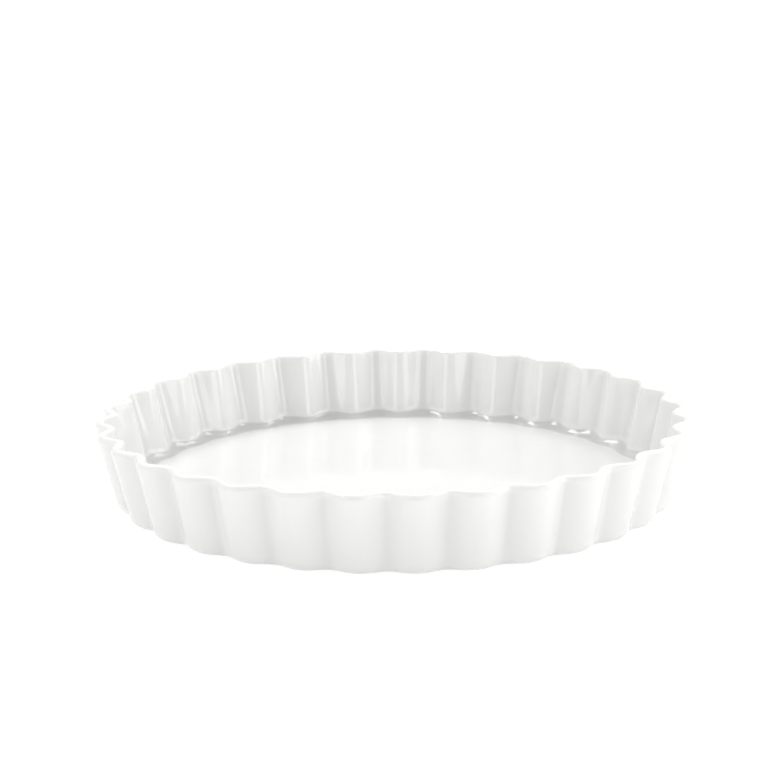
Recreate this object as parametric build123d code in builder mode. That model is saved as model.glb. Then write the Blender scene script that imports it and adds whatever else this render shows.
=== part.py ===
"""Fluted quiche dish in glazed porcelain: one fired piece, 28 cm over the rim.

Millimetres, +Z up. The origin is the middle of the circle that the foot ring stands on.
The wall is a ring of flutes that leans outwards and deepens from the base to the rim.
"""
from build123d import *
from math import acos, atan2, cos, pi, radians, sin, tan
import os

os.makedirs("parts", exist_ok=True)

# Whole dish
rim_diameter = 280.0  # over the crests of the flutes
height = 38.6  # from the table to the top of the rim
wall_lean = 14.6  # degrees that the crests lean outwards
wall = 4.5  # thickness of the porcelain, measured level across a flute
flute_count = 32

# Flutes, at the top of the rim and at the underside
rim_flute_depth = 5.5
rim_pocket_radius = 1.3  # inside, along the back of a crest
rim_groove_radius = 5.8  # outside, between two crests
base_flute_depth = 3.3
base_pocket_radius = 2.1
base_groove_radius = 8.2

# Rounded edges, each in a few level bands
rim_land = 0.4  # level strip along the top, between the two rounded edges of the rim
rim_outside_steps = 3
rim_inside_steps = 2
base_rounding = 6.0
base_steps = 3

# Foot ring, and the hollow that it encloses
foot_height = 0.8
foot_width = 4.0
foot_inset = 3.8  # from the grooves, along the edge of the underside, in to the foot ring
hollow_depth = 0.6  # up into the underside

# Inside floor, and the cove that carries it up into the flutes
floor_thickness = 3.5  # over the hollow
cove_height = 4.6
cove_reach = 8.0  # from the backs of the crests in to the edge of the floor
cove_steps = 2
floor_flute_depth = 1.4  # what is left of the flutes along the edge of the floor

flute_turn = 360 / flute_count
wall_slope = radians(90 - wall_lean)
rim_rounding = (wall - rim_land) * sin(wall_slope) / 2
floor_height = foot_height + hollow_depth + floor_thickness
# Where the crests would end, at the top and at the underside, if no edge were rounded
top_radius = rim_diameter / 2 + rim_rounding * (tan(radians(wall_lean)) + 1 / sin(wall_slope) - 1)
underside_radius = top_radius - (height - foot_height) / tan(wall_slope)


def between(at_underside, at_top, level):
    """The value at a level of a size that changes evenly from the underside to the top."""
    return at_underside + (at_top - at_underside) * (level - foot_height) / (height - foot_height)


def crest_radius(level):
    """How far the crests would reach at a level if no edge were rounded."""
    return between(underside_radius, top_radius, level)


def flute_depth(level):
    """Depth of the flutes at a level of the wall."""
    return between(base_flute_depth, rim_flute_depth, level)


def rounding(radius, slope, steps):
    """Pairs of rise and inset, from a level face round to a wall that leaves it at a slope."""
    turns = [slope * step / steps for step in range(steps + 1)]
    return [(radius * (1 - cos(turn)), radius * (1 - cos(slope - turn)) / sin(slope)) for turn in turns]


def fluted_face(level, tip_radius, depth, inset):
    """A level face, edged by rounded crests and grooves with straight flanks between.

    The inset from the outside of the wall makes its crests sharper and its grooves rounder.
    """
    crest_round = between(base_pocket_radius, rim_pocket_radius, level) + wall - inset
    groove_round = between(base_groove_radius, rim_groove_radius, level) + inset
    crest_centre = Vector(tip_radius - crest_round, 0)
    groove_centre = Vector(tip_radius - depth + groove_round, 0).rotate(Axis.Z, flute_turn / 2)
    groove_bottom = Vector(tip_radius - depth, 0).rotate(Axis.Z, flute_turn / 2)
    # A flank touches both circles, so its normal leans back from the line of centres
    reach = groove_centre - crest_centre
    direction = atan2(reach.Y, reach.X) - acos((crest_round + groove_round) / reach.length)
    normal = Vector(cos(direction), sin(direction))
    crest_end = crest_centre + normal * crest_round
    groove_start = groove_centre - normal * groove_round
    # The second half of a flute mirrors its first half
    groove_end = Vector(groove_start.X, -groove_start.Y).rotate(Axis.Z, flute_turn)
    next_crest = Vector(crest_end.X, -crest_end.Y).rotate(Axis.Z, flute_turn)
    with BuildSketch(Plane.XY.offset(level)) as face:
        with BuildLine():
            with BuildLine(mode=Mode.PRIVATE) as flute:
                ThreePointArc((crest_end.X, -crest_end.Y), (tip_radius, 0), crest_end)
                Line(crest_end, groove_start)
                ThreePointArc(groove_start, groove_bottom, groove_end)
                Line(groove_end, next_crest)
            with PolarLocations(0, flute_count):
                add(flute.line)
        make_face()
    return face.sketch


def wall_face(level, inset):
    """The face within the flutes at a level, drawn in from the outside by an even inset."""
    return fluted_face(level, crest_radius(level) - inset, flute_depth(level), inset)


def cove_face(rise, turn):
    """The face within the cove, at a rise above the floor, where it has turned up by an angle.

    Its flutes fade into the rounder edge of the floor.
    """
    level = floor_height + rise
    spread = sin(turn) / sin(wall_slope)
    pocket = crest_radius(level) - wall
    reach = floor_radius + (pocket - floor_radius) * spread
    depth = floor_flute_depth + (flute_depth(level) - floor_flute_depth) * spread
    return fluted_face(level, reach, depth, wall)


base_edge = rounding(base_rounding, wall_slope, base_steps)
outer_rim = rounding(rim_rounding, pi - wall_slope, rim_outside_steps)
inner_rim = rounding(rim_rounding, wall_slope, rim_inside_steps)
foot_radius = underside_radius - base_flute_depth - base_edge[0][1] - foot_inset
floor_radius = crest_radius(floor_height + cove_height) - wall - cove_reach
cove_turns = [wall_slope * step / cove_steps for step in range(cove_steps + 1)]
cove_rises = [cove_height * (1 - cos(turn)) / (1 - cos(wall_slope)) for turn in cove_turns]

outside = [wall_face(foot_height + rise, inset) for rise, inset in base_edge]
outside += [wall_face(height - rise, inset) for rise, inset in reversed(outer_rim)]
inside = [cove_face(rise, turn) for rise, turn in zip(cove_rises, cove_turns)]
inside += [wall_face(height - rise, wall - inset) for rise, inset in reversed(inner_rim)]

with BuildPart() as dish:
    # The fluted body, solid at first
    loft(outside, ruled=True)

    # The foot ring and the hollow within it
    with BuildSketch(Plane.XY):
        Circle(foot_radius)
    extrude(amount=foot_height)
    with BuildSketch(Plane.XY):
        Circle(foot_radius - foot_width)
    extrude(amount=foot_height + hollow_depth, mode=Mode.SUBTRACT)

    # The inside, from the floor up to the rim
    loft(inside, ruled=True, mode=Mode.SUBTRACT)

dish.part.label = "fluted_dish"
export_step(dish.part, "parts/fluted_dish.step")
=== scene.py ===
"""A fluted porcelain quiche dish on a plain pale floor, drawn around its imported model.

The dish is one fired piece. A Geometry Nodes tree draws it from its sizes, in bands that run from
the middle of the underside, round the foot ring, up the fluted wall, over the rim and down to the
middle of the floor.
"""

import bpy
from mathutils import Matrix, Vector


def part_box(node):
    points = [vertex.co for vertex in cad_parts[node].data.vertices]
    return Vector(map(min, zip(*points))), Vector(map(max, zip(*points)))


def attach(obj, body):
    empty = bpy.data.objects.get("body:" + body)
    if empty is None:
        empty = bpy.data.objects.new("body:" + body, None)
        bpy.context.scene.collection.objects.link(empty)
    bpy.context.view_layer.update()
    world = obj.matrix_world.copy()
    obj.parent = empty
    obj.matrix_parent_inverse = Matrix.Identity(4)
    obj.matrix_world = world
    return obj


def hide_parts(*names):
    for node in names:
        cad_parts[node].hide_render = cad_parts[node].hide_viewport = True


bl_info = {
    "name": "Fluted Quiche Dish",
    "version": (1, 0, 0),
    "blender": (4, 5, 0),
    "location": "View3D > Sidebar > Quiche Dish",
    "description": "A fluted porcelain quiche dish, its glaze and a plain studio to show it in",
    "category": "Add Mesh",
}

from math import atan, cos, pi, radians, sin, tau
from types import SimpleNamespace

import bpy
from bpy.props import FloatProperty, FloatVectorProperty, IntProperty, PointerProperty
from mathutils import Euler, Matrix, Vector

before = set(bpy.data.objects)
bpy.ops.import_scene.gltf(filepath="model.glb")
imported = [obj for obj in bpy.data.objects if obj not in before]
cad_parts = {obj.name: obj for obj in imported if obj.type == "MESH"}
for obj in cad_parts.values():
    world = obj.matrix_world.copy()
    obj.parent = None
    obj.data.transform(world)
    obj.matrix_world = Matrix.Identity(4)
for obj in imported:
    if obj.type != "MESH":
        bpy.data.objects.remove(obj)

NODE = "fluted_dish"
cad_low, cad_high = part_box(NODE)
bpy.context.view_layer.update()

# How the nodes of a tree are laid out for the eye
NODES_PER_COLUMN = 8
NODE_SPACING = 220

# The attribute that says how much glaze pooling and painted shade, thin glaze or bare clay each
# place has
GLAZE = "glaze"
# How much the colour of glaze pooling, with painted shade, darkens the grooves outside and the
# pockets inside
GROOVE_POOL_AND_SHADE = 0.2
POCKET_POOL_AND_SHADE = 0.35
# How much lower the cove is at the bulges than in the pockets, as a share of its height
COVE_DROP = 0.25
# Points nearer than this are welded where two bands meet, in metres
WELD_DISTANCE = 1e-6

# How wide the lumps of each unevenness are, in metres
STRAY_LUMP = 0.025
DRIFT_LUMP = 0.04
GLOSS_LUMP = 0.012
SWELL_LUMP = 0.014
PEEL_LUMP = 0.0016
RAGGED_LUMP = 0.002
GRAIN_LUMP = 0.0004
# How high the swell, the orange peel and the grain of the clay stand, in metres
SWELL_HEIGHT = 0.00005
PEEL_HEIGHT = 0.0000015
GRAIN_HEIGHT = 0.00006

GLAZE_IOR = 1.52
# How far apart the roughness of the glaze is where it is smoothest and where it is dullest
ROUGHNESS_DRIFT = 0.05
CLAY_ROUGHNESS = 0.75
# How strongly each change of the surface shows in its colour
DRIFT_SHADE = 0.06
THIN_SHADE = 0.8
GRAIN_SHADE = 0.4
# Glaze pooling and its painted shade show this much at least, more where the glaze drifts thicker
LEAST_POOL_AND_SHADE = 0.75
POOL_AND_SHADE_DRIFT = 0.4
# How bright the specks in the bare clay are, beside its colour
SPECK_BRIGHTNESS = 0.8
# How bare the surface is where the wiped edge of the clay begins, and where it is all clay
WIPED_EDGE = (0.45, 0.6)
# How much that edge wanders
RAGGEDNESS = 0.5

WHITE = (1, 1, 1, 1)
# The floor's colour where it lights the dish, and the darker one that shows the camera its shadow
FLOOR_COLOUR = (0.88, 0.88, 0.88, 1)
SHADOW_COLOUR = (0.2, 0.2, 0.2, 1)
# The radii between which the painted shadow on the floor turns nearly white, then wholly white, in
# metres
PAINTED_SHADOW_EDGE = (0.112, 0.121)
PAINTED_SHADE_FADE = (0.13, 0.4)
NEARLY_WHITE = 0.9
LAST_OF_WHITE = 0.1


class DishSizes(bpy.types.PropertyGroup):
    """Sizes of the dish, in metres and radians."""

    rim_diameter: FloatProperty(
        name="Rim Diameter",
        description="Across the dish, over the crests of the flutes",
        default=cad_high.x - cad_low.x,
        subtype="DISTANCE",
    )
    height: FloatProperty(
        name="Height",
        description="From the table to the top of the rim",
        default=cad_high.z,
        subtype="DISTANCE",
    )
    wall_slope: FloatProperty(
        name="Wall Slope",
        description="Angle between the floor and the wall, which leans outwards",
        default=radians(75.4),
        subtype="ANGLE",
    )
    wall: FloatProperty(
        name="Wall",
        description="Thickness of the porcelain, measured level across a flute",
        default=0.0045,
        subtype="DISTANCE",
    )
    flute_count: IntProperty(
        name="Flute Count",
        description="How many flutes go round the dish",
        default=32,
    )
    rim_flute_depth: FloatProperty(
        name="Rim Flute Depth",
        description="From crest to groove, at the top of the rim",
        default=0.0055,
        subtype="DISTANCE",
    )
    base_flute_depth: FloatProperty(
        name="Base Flute Depth",
        description="From crest to groove, at the underside",
        default=0.0033,
        subtype="DISTANCE",
    )
    wave_line: FloatProperty(
        name="Wave Line",
        description="How far in through the wall its flutes are an even wave",
        default=0.9,
        subtype="FACTOR",
    )
    rim_land: FloatProperty(
        name="Rim Land",
        description="Level strip between the two rounded edges of the rim",
        default=0.0004,
        subtype="DISTANCE",
    )
    base_rounding: FloatProperty(
        name="Base Rounding",
        description="Radius between the underside and the wall",
        default=0.006,
        subtype="DISTANCE",
    )
    foot_height: FloatProperty(
        name="Foot Height",
        description="From the table to the underside outside the foot ring",
        default=0.0008,
        subtype="DISTANCE",
    )
    foot_width: FloatProperty(
        name="Foot Width",
        description="Width of the foot ring",
        default=0.004,
        subtype="DISTANCE",
    )
    foot_inset: FloatProperty(
        name="Foot Inset",
        description="From the grooves along the edge of the underside in to the foot ring",
        default=0.0038,
        subtype="DISTANCE",
    )
    foot_rounding: FloatProperty(
        name="Foot Rounding",
        description="Radius of the edges of the foot ring",
        default=0.00035,
        subtype="DISTANCE",
    )
    hollow_depth: FloatProperty(
        name="Hollow Depth",
        description="How far the hollow within the foot ring goes up into the underside",
        default=0.0006,
        subtype="DISTANCE",
    )
    floor_thickness: FloatProperty(
        name="Floor Thickness",
        description="Thickness of the floor over the hollow",
        default=0.0035,
        subtype="DISTANCE",
    )
    cove_height: FloatProperty(
        name="Cove Height",
        description="How high the cove between the floor and the wall goes",
        default=0.0034,
        subtype="DISTANCE",
    )
    cove_reach: FloatProperty(
        name="Cove Reach",
        description="From the backs of the crests in to the edge of the floor",
        default=0.0077,
        subtype="DISTANCE",
    )
    floor_flute_depth: FloatProperty(
        name="Floor Flute Depth",
        description="What is left of the flutes along the edge of the floor",
        default=0.0014,
        subtype="DISTANCE",
    )
    kiln_waver: FloatProperty(
        name="Kiln Waver",
        description="How far the fired surface strays from its true shape",
        default=0.0001,
        subtype="DISTANCE",
    )
    flute_samples: IntProperty(
        name="Flute Samples",
        description="Faces across each flute",
        default=40,
    )
    crest_crowding: FloatProperty(
        name="Crest Crowding",
        description="How much closer the faces stand along the crests",
        default=0.1,
        subtype="FACTOR",
    )


class GlazeColours(bpy.types.PropertyGroup):
    """Colours and gloss of the glaze and of the bare clay."""

    glaze: FloatVectorProperty(
        name="Glaze",
        description="The glazed porcelain",
        default=(0.85, 0.85, 0.835),
        subtype="COLOR",
    )
    # A tint of glaze pooling that also stands for painted shade in the grooves, pockets and cove
    pool_and_shade: FloatVectorProperty(
        name="Pooled Glaze",
        description="Where the glaze gathered in grooves and coves",
        default=(0.60, 0.61, 0.59),
        subtype="COLOR",
    )
    thin: FloatVectorProperty(
        name="Thin Glaze",
        description="Where the glaze drew back from the edge of the rim",
        default=(0.91, 0.90, 0.875),
        subtype="COLOR",
    )
    clay: FloatVectorProperty(
        name="Bare Clay",
        description="The unglazed face that the dish stands on",
        default=(0.76, 0.73, 0.68),
        subtype="COLOR",
    )
    roughness: FloatProperty(
        name="Glaze Roughness",
        description="How much the glaze blurs what it reflects",
        default=0.07,
        subtype="FACTOR",
    )


class StageLook(bpy.types.PropertyGroup):
    """The floor, the lamps and where the camera stands."""

    floor_size: FloatProperty(
        name="Floor Size",
        description="Width of the floor",
        default=16.0,
        subtype="DISTANCE",
    )
    surroundings: FloatProperty(
        name="Surroundings",
        description="Strength of the light from all around",
        default=0.39,
    )
    floor_glow: FloatProperty(
        name="Floor Glow",
        description="Strength of the light that comes up through the floor",
        default=0.18,
    )
    back: FloatProperty(
        name="Back Lamp",
        description="Brightness of the high lamp behind the dish",
        default=1.1,
    )
    back_corners: FloatProperty(
        name="Back Corner Lamps",
        description="Brightness of the lamps behind the dish which draw the lines in the cove",
        default=6.5,
    )
    front: FloatProperty(
        name="Front Lamp",
        description="Brightness of the lamp above the camera",
        default=0.7,
    )
    left: FloatProperty(
        name="Left Lamp",
        description="Brightness of the lamps on the left",
        default=1.2,
    )
    right: FloatProperty(
        name="Right Lamp",
        description="Brightness of the lamps on the right",
        default=3.5,
    )
    strips: FloatProperty(
        name="Strip Lamps",
        description="Brightness of the narrow lamps in front, which draw the lines in the flutes",
        default=2.2,
    )
    camera_distance: FloatProperty(
        name="Camera Distance",
        description="From the dish's axis to the camera, along the floor",
        default=1.00756,
        subtype="DISTANCE",
    )
    camera_height: FloatProperty(
        name="Camera Height",
        description="From the floor to the camera",
        default=0.29488,
        subtype="DISTANCE",
    )
    camera_heading: FloatProperty(
        name="Camera Heading",
        description="How far the view is turned from +Y towards +X",
        default=radians(4.1),
        subtype="ANGLE",
    )
    camera_pitch: FloatProperty(
        name="Camera Pitch",
        description="How far the camera looks down",
        default=0.2393,
        subtype="ANGLE",
    )
    camera_roll: FloatProperty(
        name="Camera Roll",
        description="How far the right of the view drops",
        default=0.0111,
        subtype="ANGLE",
    )
    lens: FloatProperty(
        name="Lens",
        description="Focal length",
        default=101.8,
        unit="CAMERA",
    )


class Value:
    """A value in a node tree. Sums and products of it become maths nodes."""

    def __init__(self, wiring, socket):
        self.wiring = wiring
        self.socket = socket

    def __add__(self, other):
        return self.wiring.maths("ADD", self, other)

    def __sub__(self, other):
        return self.wiring.maths("SUBTRACT", self, other)

    def __rsub__(self, other):
        return self.wiring.maths("SUBTRACT", other, self)

    def __mul__(self, other):
        return self.wiring.maths("MULTIPLY", self, other)

    def __truediv__(self, other):
        return self.wiring.maths("DIVIDE", self, other)

    def __rtruediv__(self, other):
        return self.wiring.maths("DIVIDE", other, self)

    __radd__ = __add__
    __rmul__ = __mul__


class Wiring:
    """Adds nodes to a geometry or shader tree and joins their sockets."""

    def __init__(self, tree):
        self.tree = tree

    def node(self, kind, inputs, **settings):
        """A new node, with its inputs set or joined by name or number."""
        column, row = divmod(len(self.tree.nodes), NODES_PER_COLUMN)
        node = self.tree.nodes.new(kind)
        node.location = (column * NODE_SPACING, -row * NODE_SPACING)
        for name, setting in settings.items():
            setattr(node, name, setting)
        for key, given in inputs.items():
            self.feed(node.inputs[key], given)
        return node

    def feed(self, socket, given):
        """Joins a value or a socket to an input, or sets the input to a plain value."""
        if isinstance(given, Value):
            self.tree.links.new(given.socket, socket)
        elif isinstance(given, bpy.types.NodeSocket):
            self.tree.links.new(given, socket)
        else:
            socket.default_value = given

    def maths(self, operation, *given):
        node = self.node("ShaderNodeMath", dict(enumerate(given)), operation=operation)
        return Value(self, node.outputs[0])

    def split(self, vector):
        """The three parts of a vector."""
        node = self.node("ShaderNodeSeparateXYZ", {0: vector})
        return [Value(self, socket) for socket in node.outputs]

    def combine(self, x, y, z):
        return self.node("ShaderNodeCombineXYZ", {0: x, 1: y, 2: z}).outputs[0]

    def blend(self, factor, start, end):
        """A vector between two others."""
        settings = {"data_type": "VECTOR", "clamp_factor": False}
        node = self.node("ShaderNodeMix", {"Factor": factor}, **settings)
        vectors = (socket for socket in node.inputs if socket.type == "VECTOR")
        first, second = (socket for socket in vectors if socket.name in ("A", "B"))
        self.feed(first, start)
        self.feed(second, end)
        return next(socket for socket in node.outputs if socket.type == "VECTOR")

    def tint(self, factor, start, end):
        """A colour between two others."""
        node = self.node("ShaderNodeMix", {"Factor": factor}, data_type="RGBA")
        first, second = (socket for socket in node.inputs if socket.type == "RGBA")
        self.feed(first, (*start, 1) if isinstance(start, tuple) else start)
        self.feed(second, (*end, 1) if isinstance(end, tuple) else end)
        return next(socket for socket in node.outputs if socket.type == "RGBA")

    def noise(self, place, size, detail):
        """Smooth noise about one half, with lumps of a size in metres."""
        inputs = {"Vector": place, "Scale": 1 / size, "Detail": detail}
        node = self.node("ShaderNodeTexNoise", inputs)
        return Value(self, node.outputs[0])

    def step(self, value, low, high):
        """Nought below the low value, one above the high one, and smooth between."""
        inputs = {"Value": value, "From Min": low, "From Max": high}
        node = self.node("ShaderNodeMapRange", inputs, interpolation_type="SMOOTHSTEP")
        return Value(self, node.outputs[0])


def sine(value):
    return value.wiring.maths("SINE", value)


def cosine(value):
    return value.wiring.maths("COSINE", value)


def root(value):
    return value.wiring.maths("SQRT", value)


def power(value, exponent):
    return value.wiring.maths("POWER", value, exponent)


def flute_group():
    """A node group that places a point on a ring of flutes, at an even inset from an even wave."""
    tree = bpy.data.node_groups.new("place_on_flutes", "GeometryNodeTree")
    names = ("Angle", "Flutes", "Crest Radius", "Depth", "Inset", "Level")
    for name in names:
        tree.interface.new_socket(name=name, in_out="INPUT", socket_type="NodeSocketFloat")
    tree.interface.new_socket(name="Place", in_out="OUTPUT", socket_type="NodeSocketVector")
    wiring = Wiring(tree)
    given = wiring.node("NodeGroupInput", {}).outputs
    values = [Value(wiring, given[name]) for name in names]
    angle, flutes, crest_radius, depth, inset, level = values
    wave = angle * flutes
    radius = crest_radius - depth * (1 - cosine(wave)) / 2
    # How fast the radius grows with the angle, which turns the way in
    growth = depth * flutes * sine(wave) / -2
    reach = root(radius * radius + growth * growth)
    outward = radius - inset * radius / reach
    across = inset * growth / reach
    place = wiring.combine(
        outward * cosine(angle) - across * sine(angle),
        outward * sine(angle) + across * cosine(angle),
        level,
    )
    wiring.node("NodeGroupOutput", {"Place": place})
    return tree


def size_inputs(tree, sizes):
    """Gives a tree a named input for each size, and returns the identifier of each."""
    identifiers = {}
    for name in sizes.__annotations__:
        size = sizes.bl_rna.properties[name]
        kind = {"INT": "NodeSocketInt", "FLOAT": "NodeSocketFloat"}[size.type]
        socket = tree.interface.new_socket(name=size.name, in_out="INPUT", socket_type=kind)
        socket.description = size.description
        socket.default_value = size.default
        if size.type == "FLOAT":
            socket.subtype = size.subtype
        identifiers[name] = socket.identifier
    return identifiers


class DishTree:
    """The tree that draws the dish, band by band."""

    def __init__(self, material):
        self.tree = bpy.data.node_groups.new("fluted_dish", "GeometryNodeTree")
        self.tree.is_modifier = True
        self.identifiers = size_inputs(self.tree, DishSizes)
        self.tree.interface.new_socket(
            name="Dish",
            in_out="OUTPUT",
            socket_type="NodeSocketGeometry",
        )
        self.wiring = Wiring(self.tree)
        given = self.wiring.node("NodeGroupInput", {}).outputs
        self.size = SimpleNamespace()
        for name in self.identifiers:
            label = DishSizes.bl_rna.properties[name].name
            setattr(self.size, name, Value(self.wiring, given[label]))
        self.flutes = flute_group()
        self.bands = []

        # Each band starts as a flat grid: the angle goes once round across it, the profile up it
        position = self.wiring.node("GeometryNodeInputPosition", {}).outputs[0]
        across, up, _ = self.wiring.split(position)
        even = (across + 0.5) * tau
        crowding = self.size.crest_crowding / self.size.flute_count
        self.angle = even - crowding * sine(even * self.size.flute_count)
        self.along = up + 0.5
        self.eased = self.along * self.along * (3 - 2 * self.along)
        self.crest = (cosine(self.angle * self.size.flute_count) + 1) / 2
        self.columns = self.size.flute_count * self.size.flute_samples + 1

        self.work_out_places()
        self.draw_foot()
        self.draw_outside()
        self.draw_rim()
        self.draw_inside()
        self.finish(material)

    def work_out_places(self):
        """The places that several bands share."""
        size = self.size
        self.slope_sine = sine(size.wall_slope)
        self.slope_cosine = cosine(size.wall_slope)
        self.rim_rounding = (size.wall - size.rim_land) * self.slope_sine / 2
        self.floor_level = size.foot_height + size.hollow_depth + size.floor_thickness
        cove_top = self.floor_level + size.cove_height
        # Where the crests would end, at the top and at the underside, if no edge were rounded
        lean = self.slope_cosine / self.slope_sine
        rounded_off = self.rim_rounding * (lean + 1 / self.slope_sine - 1)
        self.top_radius = size.rim_diameter / 2 + rounded_off
        self.base_radius = self.top_radius - (size.height - size.foot_height) * lean
        self.base_inset = size.base_rounding * (1 - self.slope_cosine) / self.slope_sine
        base_grooves = self.base_radius - size.base_flute_depth - self.base_inset
        self.foot_radius = base_grooves - size.foot_inset
        self.floor_radius = self.crest_radius(cove_top) - size.wall - size.cove_reach

    def share_of_height(self, level):
        """How far up the wall a level is: nought at the underside, one at the top of the rim."""
        size = self.size
        return (level - size.foot_height) / (size.height - size.foot_height)

    def crest_radius(self, level):
        share = self.share_of_height(level)
        return self.base_radius + (self.top_radius - self.base_radius) * share

    def flute_depth(self, level):
        size = self.size
        share = self.share_of_height(level)
        return size.base_flute_depth + (size.rim_flute_depth - size.base_flute_depth) * share

    def ring(self, radius, depth, inset, level):
        """The place of each column on one ring."""
        inputs = {
            "Angle": self.angle,
            "Flutes": self.size.flute_count,
            "Crest Radius": radius,
            "Depth": depth,
            "Inset": inset,
            "Level": level,
        }
        node = self.wiring.node("GeometryNodeGroup", inputs, node_tree=self.flutes)
        return node.outputs[0]

    def wall_ring(self, level, inset):
        """The place of each column on the wall at a level, drawn in from the outside."""
        wave_line = self.size.wall * self.size.wave_line
        radius = self.crest_radius(level) - wave_line
        return self.ring(radius, self.flute_depth(level), inset - wave_line, level)

    def band(self, rows, place, pool_and_shade=0.0, thin=0.0, bare=0.0):
        """One band of the surface, with its glaze pooling and painted shade, and how thin or absent
        its glaze is.
        """
        inputs = {"Size X": 1.0, "Size Y": 1.0, "Vertices X": self.columns, "Vertices Y": rows + 1}
        grid = self.wiring.node("GeometryNodeMeshGrid", inputs)
        glaze = self.wiring.node(
            "GeometryNodeStoreNamedAttribute",
            {"Geometry": grid.outputs["Mesh"], "Name": GLAZE},
            data_type="FLOAT_VECTOR",
            domain="POINT",
        )
        self.wiring.feed(glaze.inputs["Value"], self.wiring.combine(pool_and_shade, thin, bare))
        inputs = {"Geometry": glaze.outputs[0], "Position": place}
        self.bands.append(self.wiring.node("GeometryNodeSetPosition", inputs).outputs[0])

    def draw_foot(self):
        """The hollow of the underside and the foot ring round it, as turned on a wheel."""
        size, rounding, along = self.size, self.size.foot_rounding, self.along
        inner, outer = self.foot_radius - size.foot_width, self.foot_radius
        foot_top = size.foot_height
        roof = foot_top + size.hollow_depth
        quarter = along * pi / 2
        # How a rounded corner goes where the profile comes in level, and where it comes in upright
        level_first = (sine(quarter), 1 - cosine(quarter))
        upright_first = (1 - cosine(quarter), sine(quarter))
        straight = (along, along)
        # Rows, the radius and level at both ends, the way between them, and how bare the clay is
        stretches = [
            (4, (0.0, roof), (inner - rounding, roof), straight, 0.0),
            (2, (inner - rounding, roof), (inner, roof - rounding), level_first, 0.0),
            (1, (inner, roof - rounding), (inner, rounding), straight, 0.0),
            (2, (inner, rounding), (inner + rounding, 0.0), upright_first, along),
            (1, (inner + rounding, 0.0), (outer - rounding, 0.0), straight, 1.0),
            (2, (outer - rounding, 0.0), (outer, rounding), level_first, 1 - along),
            (1, (outer, rounding), (outer, foot_top - rounding), straight, 0.0),
            (2, (outer, foot_top - rounding), (outer + rounding, foot_top), upright_first, 0.0),
        ]
        for rows, (radius, level), (next_radius, next_level), (out, up), bare in stretches:
            place = self.ring(
                radius=out * (next_radius - radius) + radius,
                depth=0.0,
                inset=0.0,
                level=up * (next_level - level) + level,
            )
            self.band(rows, place, bare=bare)

    def draw_outside(self):
        """The underside outside the foot ring, the rounded base and the outside of the wall."""
        size = self.size
        foot = self.ring(
            radius=self.foot_radius + size.foot_rounding,
            depth=0.0,
            inset=0.0,
            level=size.foot_height,
        )
        edge = self.wall_ring(size.foot_height, self.base_inset)
        self.band(rows=2, place=self.wiring.blend(self.along, foot, edge))

        turn = size.wall_slope * self.along
        rise = size.base_rounding * (1 - cosine(turn))
        inset = size.base_rounding * (1 - cosine(size.wall_slope - turn)) / self.slope_sine
        # Painted shade darkens the grooves, with a faint tint of glaze pooling
        groove = (1 - self.crest) * (1 - self.crest)
        pool_and_shade = groove * GROOVE_POOL_AND_SHADE
        place = self.wall_ring(size.foot_height + rise, inset)
        self.band(rows=10, place=place, pool_and_shade=pool_and_shade)

        low = size.foot_height + size.base_rounding * (1 - self.slope_cosine)
        high = size.height - self.rim_rounding * (1 + self.slope_cosine)
        # Towards the rim the glaze draws back from the crests
        thin = power(self.crest * self.along, exponent=3.0)
        place = self.wall_ring(low + (high - low) * self.eased, inset=0.0)
        self.band(rows=6, place=place, pool_and_shade=pool_and_shade, thin=thin)

    def draw_rim(self):
        """The rim, rounded outside and inside with a narrow land between."""
        size, rounding = self.size, self.rim_rounding
        whole = pi - size.wall_slope
        turn = whole * (1 - self.along)
        inset = rounding * (1 - cosine(whole - turn)) / self.slope_sine
        place = self.wall_ring(size.height - rounding * (1 - cosine(turn)), inset)
        self.band(rows=9, place=place, thin=self.eased)

        outer = rounding * (1 + self.slope_cosine) / self.slope_sine
        place = self.wall_ring(size.height, outer + size.rim_land * self.along)
        self.band(rows=1, place=place, thin=1.0)

        turn = size.wall_slope * self.along
        inset = size.wall - rounding * (1 - cosine(size.wall_slope - turn)) / self.slope_sine
        place = self.wall_ring(size.height - rounding * (1 - cosine(turn)), inset)
        self.band(rows=7, place=place, thin=1 - self.eased)

    def draw_inside(self):
        """The inside of the wall, the cove where its flutes fade, and the floor."""
        size, along = self.size, self.along
        high = size.height - self.rim_rounding * (1 - self.slope_cosine)
        # The cove reaches less high up the bulges than up the pockets between them
        rise = size.cove_height * (self.crest * COVE_DROP + (1 - COVE_DROP))
        place = self.wall_ring(high + (self.floor_level + rise - high) * self.eased, size.wall)
        # Painted shade darkens the pockets, with a tint of glaze pooling
        pool_and_shade = power(self.crest, exponent=4.0) * POCKET_POOL_AND_SHADE
        self.band(rows=6, place=place, pool_and_shade=pool_and_shade)

        turn = size.wall_slope * (1 - along)
        level = self.floor_level + rise * (1 - cosine(turn)) / (1 - self.slope_cosine)
        edge = self.ring(self.floor_radius, size.floor_flute_depth, inset=0.0, level=level)
        # Painted shade and a glaze tint darken nearly the whole cove, ending quite sharply at both
        # of its edges
        middle = 2 * along - 1
        cove_pool_and_shade = 1 - power(middle * middle, exponent=2.0)
        share = sine(turn) / self.slope_sine
        place = self.wiring.blend(share, edge, self.wall_ring(level, size.wall))
        self.band(rows=12, place=place, pool_and_shade=cove_pool_and_shade)

        left = 1 - along
        radius = self.floor_radius * left
        depth = size.floor_flute_depth * left * left
        place = self.ring(radius, depth, inset=0.0, level=self.floor_level)
        self.band(rows=7, place=place)

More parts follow.
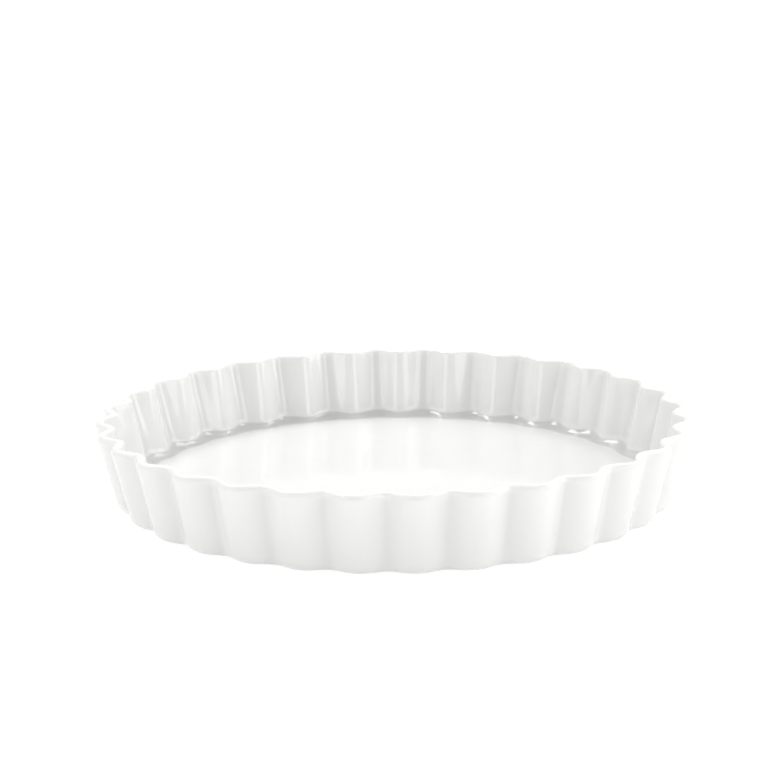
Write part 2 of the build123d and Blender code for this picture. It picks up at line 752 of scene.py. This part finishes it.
    def finish(self, material):
        """Joins the bands into one closed skin, lets it stray as fired clay does, and glazes it."""
        wiring = self.wiring
        joined = wiring.node("GeometryNodeJoinGeometry", {})
        for band in self.bands:
            wiring.feed(joined.inputs[0], band)
        inputs = {"Geometry": joined.outputs[0], "Distance": WELD_DISTANCE}
        welded = wiring.node("GeometryNodeMergeByDistance", inputs)
        place = wiring.node("GeometryNodeInputPosition", {}).outputs[0]
        normal = wiring.node("GeometryNodeInputNormal", {}).outputs[0]
        glaze = wiring.node(
            "GeometryNodeInputNamedAttribute",
            {"Name": GLAZE},
            data_type="FLOAT_VECTOR",
        )
        _, _, bare = wiring.split(glaze.outputs[0])
        lumps = wiring.noise(place, STRAY_LUMP, detail=1.0) - 0.5
        stray = lumps * self.size.kiln_waver * (1 - bare)
        offset = wiring.node("ShaderNodeVectorMath", {0: normal, "Scale": stray}, operation="SCALE")
        inputs = {"Geometry": welded.outputs[0], "Offset": offset.outputs[0]}
        strayed = wiring.node("GeometryNodeSetPosition", inputs)
        smooth = wiring.node("GeometryNodeSetShadeSmooth", {"Geometry": strayed.outputs[0]})
        plain = wiring.node("GeometryNodeRealizeInstances", {"Geometry": smooth.outputs[0]})
        inputs = {"Geometry": plain.outputs[0], "Material": material}
        glazed = wiring.node("GeometryNodeSetMaterial", inputs)
        wiring.node("NodeGroupOutput", {"Dish": glazed.outputs[0]})


def glazed_porcelain(colours):
    """White porcelain under a clear glaze, with bare clay where the foot ring was wiped clean."""
    material = bpy.data.materials.new("porcelain_glaze")
    material.use_nodes = True
    material.node_tree.nodes.clear()
    wiring = Wiring(material.node_tree)
    place = wiring.node("ShaderNodeTexCoord", {}).outputs["Object"]
    glaze = wiring.node("ShaderNodeAttribute", {}, attribute_name=GLAZE).outputs["Vector"]
    pool_and_shade, thin, bare = wiring.split(glaze)

    # The glaze drifts slowly in thickness, and the wiped edge of the clay is a little ragged
    drift = wiring.noise(place, DRIFT_LUMP, detail=3.0)
    grain = wiring.noise(place, GRAIN_LUMP, detail=4.0)
    ragged = wiring.noise(place, RAGGED_LUMP, detail=3.0) - 0.5
    clay = wiring.step(bare + ragged * RAGGEDNESS, *WIPED_EDGE)

    # This colour darkens grooves, pockets and the cove: partly a glaze tint, mostly painted shade
    pool_and_shade_colour = tuple(colours.pool_and_shade)
    colour = wiring.tint(drift * DRIFT_SHADE, tuple(colours.glaze), pool_and_shade_colour)
    colour = wiring.tint(pool_and_shade * (drift * POOL_AND_SHADE_DRIFT + LEAST_POOL_AND_SHADE), colour, pool_and_shade_colour)
    colour = wiring.tint(thin * THIN_SHADE, colour, tuple(colours.thin))
    specks = tuple(SPECK_BRIGHTNESS * part for part in colours.clay)
    bare_colour = wiring.tint(grain * GRAIN_SHADE, tuple(colours.clay), specks)
    colour = wiring.tint(clay, colour, bare_colour)

    smoothest = colours.roughness - ROUGHNESS_DRIFT / 2
    glazed = wiring.noise(place, GLOSS_LUMP, detail=2.0) * ROUGHNESS_DRIFT + smoothest
    roughness = glazed + (CLAY_ROUGHNESS - glazed) * clay

    # Soft undulation, a faint orange peel, and the grain of the clay, as heights in metres
    peel = (wiring.noise(place, PEEL_LUMP, detail=1.0) - 0.5) * PEEL_HEIGHT
    swell = (wiring.noise(place, SWELL_LUMP, detail=1.0) - 0.5) * SWELL_HEIGHT
    relief = (swell + peel) * (1 - clay) + grain * clay * GRAIN_HEIGHT
    bump = wiring.node("ShaderNodeBump", {"Height": relief, "Distance": 1.0, "Strength": 1.0})

    inputs = {
        "Base Color": colour,
        "Roughness": roughness,
        "IOR": GLAZE_IOR,
        "Normal": bump.outputs[0],
    }
    skin = wiring.node("ShaderNodeBsdfPrincipled", inputs)
    wiring.node("ShaderNodeOutputMaterial", {"Surface": skin.outputs[0]})
    return material


def plain_mesh(draught, name):
    """A new object with the evaluated mesh of another, which is then removed with its modifiers."""
    bpy.context.view_layer.update()
    evaluated = draught.evaluated_get(bpy.context.evaluated_depsgraph_get())
    mesh = bpy.data.meshes.new_from_object(evaluated)
    mesh.name = name
    # The draught has no material of its own, which can leave an empty slot in front
    if mesh.materials[0] is None:
        mesh.materials.pop(index=0)
    draught.modifiers.clear()
    bpy.data.objects.remove(draught)
    piece = bpy.data.objects.new(name, mesh)
    bpy.context.scene.collection.objects.link(piece)
    return piece


class AddFlutedDish(bpy.types.Operator):
    """Draw the dish from its sizes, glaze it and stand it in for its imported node"""

    bl_idname = "quiche_dish.add_dish"
    bl_label = "Add Fluted Dish"

    def execute(self, context):
        sizes = context.scene.dish_sizes
        material = glazed_porcelain(context.scene.glaze_colours)
        dish_tree = DishTree(material)
        draught = bpy.data.objects.new("dish_draught", bpy.data.meshes.new("dish_draught"))
        context.scene.collection.objects.link(draught)
        modifier = draught.modifiers.new("Fluted Dish", "NODES")
        modifier.node_group = dish_tree.tree
        for name, identifier in dish_tree.identifiers.items():
            modifier[identifier] = getattr(sizes, name)
        dish = plain_mesh(draught, "quiche_dish")
        if not dish.data.polygons:
            raise RuntimeError("the dish came out empty")
        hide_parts(NODE)
        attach(dish, "root")
        return {"FINISHED"}


def floor_material(floor_glow):
    """A pale floor that glows at the dish, white to the camera but for real and painted shadow."""
    material = bpy.data.materials.new("pale_floor")
    material.use_nodes = True
    material.node_tree.nodes.clear()
    wiring = Wiring(material.node_tree)
    x, y, _ = wiring.split(wiring.node("ShaderNodeTexCoord", {}).outputs["Object"])
    out = root(x * x + y * y)
    # Painted shadow: dark under the dish, nearly white from its edge on, and wholly white farther
    # out
    near = wiring.step(out, *PAINTED_SHADOW_EDGE) * NEARLY_WHITE
    far = wiring.step(out, *PAINTED_SHADE_FADE) * LAST_OF_WHITE
    glow = wiring.node("ShaderNodeEmission", {"Strength": near + far})
    lit = wiring.node("ShaderNodeBsdfDiffuse", {"Color": SHADOW_COLOUR})
    seen = wiring.node("ShaderNodeAddShader", {0: glow.outputs[0], 1: lit.outputs[0]})
    pale = wiring.node("ShaderNodeBsdfDiffuse", {"Color": FLOOR_COLOUR})
    below = wiring.node("ShaderNodeEmission", {"Strength": floor_glow})
    plain = wiring.node("ShaderNodeAddShader", {0: pale.outputs[0], 1: below.outputs[0]})
    inputs = {0: seen_by_eye(wiring), 1: plain.outputs[0], 2: seen.outputs[0]}
    mix = wiring.node("ShaderNodeMixShader", inputs)
    wiring.node("ShaderNodeOutputMaterial", {"Surface": mix.outputs[0]})
    return material


def seen_by_eye(wiring):
    """One where the camera sees the surface, plainly or in a reflection or through glass."""
    path = wiring.node("ShaderNodeLightPath", {}).outputs
    direct = wiring.maths("MAXIMUM", path["Is Camera Ray"], path["Is Glossy Ray"])
    return wiring.maths("MAXIMUM", direct, path["Is Transmission Ray"])


def set_surroundings(strength):
    """White surroundings to the eye, which light the dish evenly at a lower strength."""
    world = bpy.data.worlds.new("white_studio")
    world.use_nodes = True
    world.node_tree.nodes.clear()
    wiring = Wiring(world.node_tree)
    lighting = wiring.node("ShaderNodeBackground", {"Color": WHITE, "Strength": strength})
    shown = wiring.node("ShaderNodeBackground", {"Color": WHITE, "Strength": 1.0})
    inputs = {0: seen_by_eye(wiring), 1: lighting.outputs[0], 2: shown.outputs[0]}
    mix = wiring.node("ShaderNodeMixShader", inputs)
    wiring.node("ShaderNodeOutputWorld", {"Surface": mix.outputs[0]})
    bpy.context.scene.world = world


def add_lamps(look):
    """The softboxes, each facing the dish.

    The numbers after the brightness are degrees: how far round from -Y towards +X a lamp stands,
    how high, how wide it is and how tall.
    """
    distance = 1.6
    for name, radiance, around, up, wide, tall in (
        ("back_softbox", look.back, 180, 53, 54, 48),
        ("back_left_strip", look.back_corners, -130, 58, 34, 15),
        ("back_right_strip", look.back_corners * 0.6, 126, 53, 32, 13),
        ("front_softbox", look.front, -4, 43, 48, 12),
        ("front_left_softbox", look.left * 1.2, -64, 22, 26, 28),
        ("front_right_softbox", look.right * 0.9, 60, 34, 34, 18),
        ("left_softbox", look.left * 0.6, -92, 17, 26, 26),
        ("right_softbox", look.right * 0.7, 90, 17, 26, 26),
        ("left_strip", look.strips * 0.9, -42, 13, 16, 22),
        ("right_strip", look.strips * 0.9, 35, 13, 24, 22),
    ):
        direction = Vector((0, -1, 0))
        direction.rotate(Euler((-radians(up), 0, radians(around))))
        light = bpy.data.lights.new(name, "AREA")
        light.shape = "RECTANGLE"
        light.size = distance * radians(wide)
        light.size_y = distance * radians(tall)
        light.energy = radiance * pi * light.size * light.size_y
        lamp = bpy.data.objects.new(name, light)
        lamp.location = distance * direction
        lamp.rotation_euler = (-direction).to_track_quat("-Z", "Y").to_euler()
        lamp.visible_camera = False
        bpy.context.scene.collection.objects.link(lamp)


def add_camera(look):
    """The camera at the photograph's viewing angle."""
    camera = bpy.data.objects.new("camera", bpy.data.cameras.new("camera"))
    camera.data.lens = look.lens
    camera.data.sensor_width = 36.0
    heading = look.camera_heading
    camera.location = (
        -look.camera_distance * sin(heading),
        -look.camera_distance * cos(heading),
        look.camera_height,
    )
    # The axis of the dish stands this far right of the middle of the picture
    picture_height = 781
    right_of_middle = 3.85
    aside = atan(right_of_middle / (look.lens / camera.data.sensor_width * picture_height))
    turned = Euler((pi / 2 - look.camera_pitch, 0, aside - heading)).to_matrix()
    camera.rotation_euler = (turned @ Matrix.Rotation(-look.camera_roll, 3, "Z")).to_euler()
    bpy.context.scene.collection.objects.link(camera)
    bpy.context.scene.camera = camera


class SetStage(bpy.types.Operator):
    """Lay the pale floor, set up the lamps and stand the camera where the photograph was taken"""

    bl_idname = "quiche_dish.set_stage"
    bl_label = "Set Stage"

    def execute(self, context):
        look = context.scene.stage_look
        half = look.floor_size / 2
        mesh = bpy.data.meshes.new("floor")
        corners = [(-half, -half, 0), (half, -half, 0), (half, half, 0), (-half, half, 0)]
        mesh.from_pydata(corners, [], [(0, 1, 2, 3)])
        mesh.materials.append(floor_material(look.floor_glow))
        floor = bpy.data.objects.new("floor", mesh)
        context.scene.collection.objects.link(floor)
        set_surroundings(look.surroundings)
        add_lamps(look)
        add_camera(look)
        context.scene.view_settings.view_transform = "Standard"
        return {"FINISHED"}


class QuicheDishPanel(bpy.types.Panel):
    """Sizes, colours and operators of the dish and its stage"""

    bl_idname = "VIEW3D_PT_quiche_dish"
    bl_label = "Fluted Quiche Dish"
    bl_space_type = "VIEW_3D"
    bl_region_type = "UI"
    bl_category = "Quiche Dish"

    def draw(self, context):
        groups = [
            (context.scene.dish_sizes, AddFlutedDish),
            (context.scene.glaze_colours, None),
            (context.scene.stage_look, SetStage),
        ]
        for group, operator in groups:
            box = self.layout.box()
            for name in group.__annotations__:
                box.prop(group, name)
            if operator:
                box.operator(operator.bl_idname)


CLASSES = (DishSizes, GlazeColours, StageLook, AddFlutedDish, SetStage, QuicheDishPanel)


def register():
    for item in CLASSES:
        bpy.utils.register_class(item)
    bpy.types.Scene.dish_sizes = PointerProperty(type=DishSizes)
    bpy.types.Scene.glaze_colours = PointerProperty(type=GlazeColours)
    bpy.types.Scene.stage_look = PointerProperty(type=StageLook)


def unregister():
    del bpy.types.Scene.stage_look
    del bpy.types.Scene.glaze_colours
    del bpy.types.Scene.dish_sizes
    for item in reversed(CLASSES):
        bpy.utils.unregister_class(item)


def main():
    register()
    bpy.ops.quiche_dish.add_dish()
    bpy.ops.quiche_dish.set_stage()


if __name__ == "__main__":
    main()
